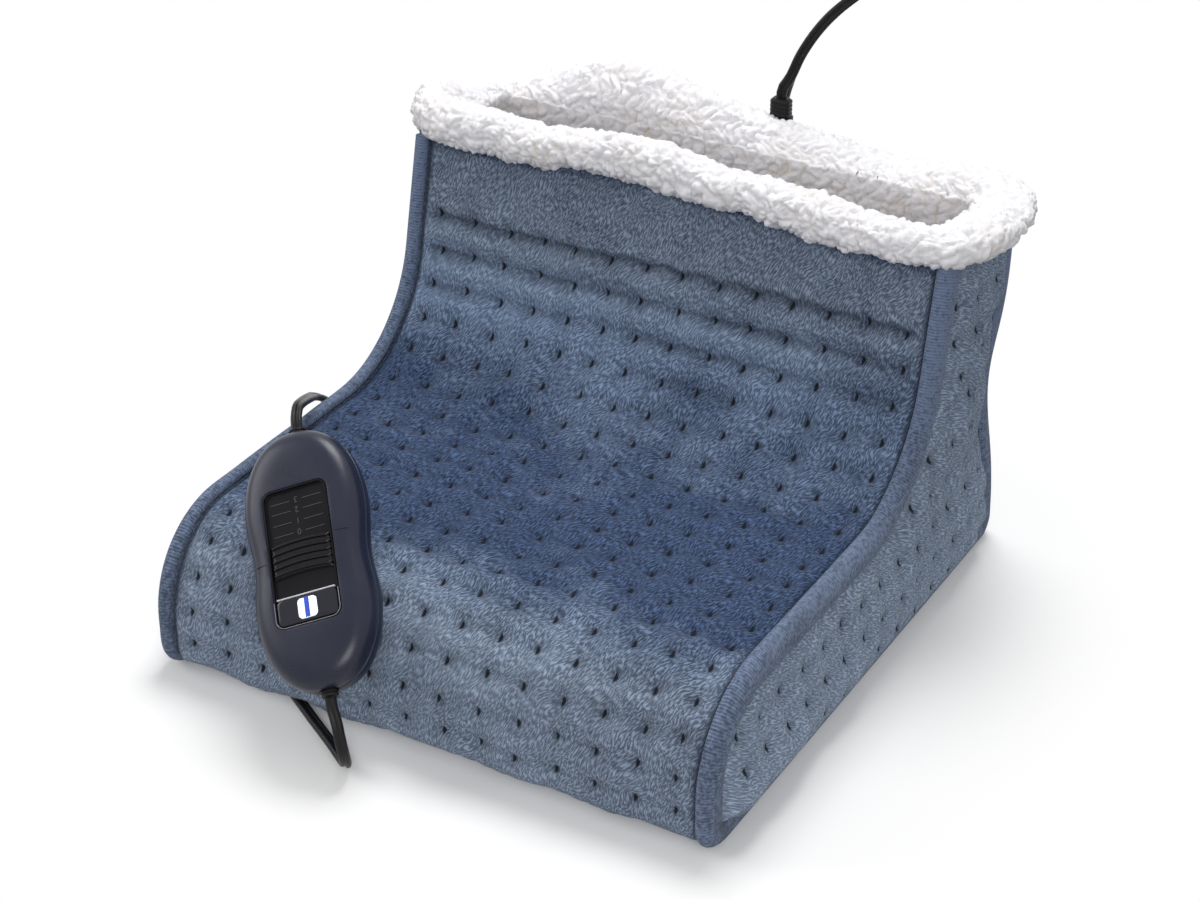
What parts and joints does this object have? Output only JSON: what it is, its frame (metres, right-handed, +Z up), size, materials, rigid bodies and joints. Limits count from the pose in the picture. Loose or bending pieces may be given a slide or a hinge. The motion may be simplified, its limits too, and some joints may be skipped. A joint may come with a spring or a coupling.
{
  "type": "electric foot warmer",
  "caption": "Plush boot for both feet with a tufted cover, a curly-pile collar, a sole heater and a waisted slide controller on its lead.",
  "frame": {"origin": "on the floor below the middle of the boot and the controller that lies on its toe, cords left out", "axes": "+Z up out of the mouth, -Y towards the toe, +X to the right of someone who looks at it from behind"},
  "size_m": [0.343, 0.4783, 0.2795],
  "materials": {
    "plush": "short napped plush",
    "tape": "ribbed woven tape",
    "sherpa": "curly pile",
    "foam": "matt",
    "felt": "matt",
    "wire": "satin",
    "cutout": "matt",
    "casing": "satin",
    "track": "gloss",
    "slider": "gloss",
    "lens": "gloss",
    "lamp": "gloss",
    "board": "satin",
    "cord": "satin",
    "pin": "polished",
    "screw": "satin"
  },
  "bodies": {
    "boot": {"left_side_panel": "plush", "right_side_panel": "plush", "instep_panel": "plush", "back_panel": "plush", "sole_panel": "plush", "left_binding": "tape", "right_binding": "tape", "sherpa_collar": "sherpa", "lining_instep": "sherpa", "lining_left": "sherpa", "lining_right": "sherpa", "lining_back": "sherpa", "lining_sole": "sherpa", "sole_foam": "foam", "heater_carrier": "felt", "heating_wire": "wire", "thermal_cutout": "cutout", "splice_housing": "casing", "internal_lead": "cord", "cable_gland": "casing", "lead_cord": "cord", "mains_cord": "cord", "mains_cord_coil": "cord", "mains_cord_tail": "cord", "cord_tie": "cord", "plug_body": "cord", "plug_pin_1": "pin", "plug_pin_2": "pin", "controller_upper_shell": "casing", "controller_lower_shell": "casing", "slider_track": "track", "lens_band": "lens", "indicator_lamp": "lamp", "circuit_board": "board", "switch_block": "cutout", "upper_bushing": "cord", "lower_bushing": "cord", "controller_screw_1": "screw", "controller_screw_2": "screw", "controller_screw_3": "screw", "controller_screw_4": "screw"},
    "slider": {"switch_slider": "slider"}
  },
  "joints": [
    {"name": "heat_setting", "type": "slide", "parent": "boot", "child": "slider", "axis": [-0.5225, 0.6029, 0.6029], "range_m": [-0.00525, 0.0105]}
  ]
}
